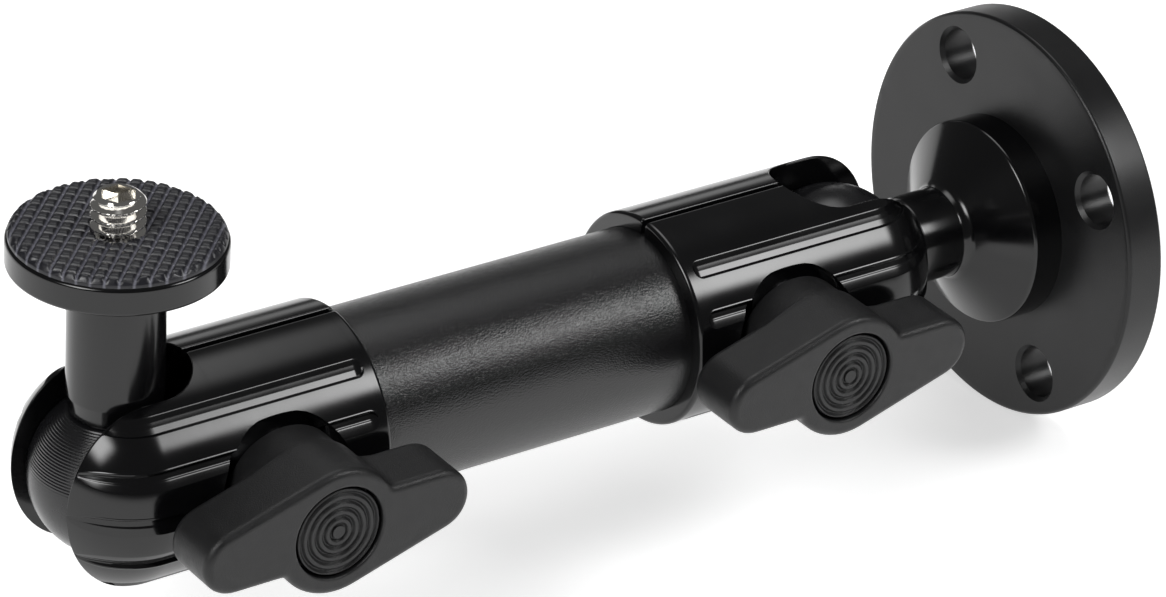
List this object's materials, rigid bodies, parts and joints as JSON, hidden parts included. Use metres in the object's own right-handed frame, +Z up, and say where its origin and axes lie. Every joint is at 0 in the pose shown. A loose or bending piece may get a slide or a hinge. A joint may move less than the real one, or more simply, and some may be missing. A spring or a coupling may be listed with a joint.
{
  "type": "camera wall bracket",
  "caption": "Double ball-joint camera wall bracket: drilled round wall plate, short tube arm with wing-knob clamps, and a padded disc with a camera screw.",
  "frame": {"origin": "centre of the wall plate's back face, on the circle of its screw holes", "axes": "+Y into the wall, so the arm runs along -Y; +Z up, along the camera screw; +X towards the wing knobs"},
  "size_m": [0.0524, 0.1472, 0.0621],
  "materials": {
    "powder_coat": "matte black powder coat",
    "gloss_black": "gloss black coat on die-cast metal",
    "black_steel": "blackened steel screw",
    "ball_black": "satin black, finely turned grooves",
    "blasted_tube": "sand-blasted black anodised aluminium",
    "plug_black": "moulded plug",
    "zinc_steel": "zinc-plated steel",
    "spring_steel": "plain spring steel",
    "knob_plastic": "matte fine-textured black plastic",
    "pad_rubber": "soft black rubber",
    "bright_steel": "bright nickel-plated steel"
  },
  "bodies": {
    "wall": {"wall_plate": "powder_coat", "wall_pedestal": "gloss_black", "pedestal_screw": "black_steel"},
    "wall_ball": {"wall_ball": "ball_black"},
    "arm": {"arm_tube": "blasted_tube", "wall_tube_plug": "plug_black", "camera_tube_plug": "plug_black", "wall_clamp_rear_shell": "gloss_black", "camera_clamp_rear_shell": "gloss_black", "wall_clamp_bolt": "zinc_steel", "camera_clamp_bolt": "zinc_steel", "wall_clamp_spring": "spring_steel", "camera_clamp_spring": "spring_steel"},
    "wall_front_shell": {"wall_clamp_front_shell": "gloss_black", "wall_knob_washer": "zinc_steel"},
    "camera_front_shell": {"camera_clamp_front_shell": "gloss_black", "camera_knob_washer": "zinc_steel"},
    "wall_knob": {"wall_knob": "knob_plastic", "wall_knob_nut": "zinc_steel", "wall_knob_cap": "knob_plastic"},
    "camera_knob": {"camera_knob": "knob_plastic", "camera_knob_nut": "zinc_steel", "camera_knob_cap": "knob_plastic"},
    "camera_ball": {"camera_ball": "ball_black"},
    "camera_head": {"camera_stem": "gloss_black", "camera_pad": "pad_rubber", "camera_stud": "bright_steel"}
  },
  "joints": [
    {"name": "wall_roll", "type": "hinge", "parent": "wall", "child": "wall_ball", "pos_m": [0, -0.0315, 0], "axis": [0, 1, 0], "continuous": true},
    {"name": "wall_swing", "type": "hinge", "parent": "wall_ball", "child": "arm", "pos_m": [0, -0.0315, 0], "axis": [1, 0, 0], "range_deg": [-90, 90]},
    {"name": "camera_swing", "type": "hinge", "parent": "arm", "child": "camera_ball", "pos_m": [0, -0.1345, 0], "axis": [1, 0, 0], "range_deg": [-8, 188]},
    {"name": "camera_spin", "type": "hinge", "parent": "camera_ball", "child": "camera_head", "pos_m": [0, -0.1345, 0], "axis": [0, 0, 1], "continuous": true},
    {"name": "wall_clamp_open", "type": "slide", "parent": "arm", "child": "wall_front_shell", "axis": [1, 0, 0], "range_m": [0, 0.00080001]},
    {"name": "wall_knob_turn", "type": "hinge", "parent": "wall_front_shell", "child": "wall_knob", "pos_m": [0.018, -0.0467, 0], "axis": [1, 0, 0], "range_deg": [0, 360]},
    {"name": "camera_clamp_open", "type": "slide", "parent": "arm", "child": "camera_front_shell", "axis": [1, 0, 0], "range_m": [0, 0.00080001]},
    {"name": "camera_knob_turn", "type": "hinge", "parent": "camera_front_shell", "child": "camera_knob", "pos_m": [0.018, -0.1193, 0], "axis": [1, 0, 0], "range_deg": [0, 360]}
  ],
  "couplings": [
    {"joint": "wall_knob_turn", "follows": "wall_clamp_open", "rad_per_m": 7854},
    {"joint": "camera_knob_turn", "follows": "camera_clamp_open", "rad_per_m": 7854}
  ]
}
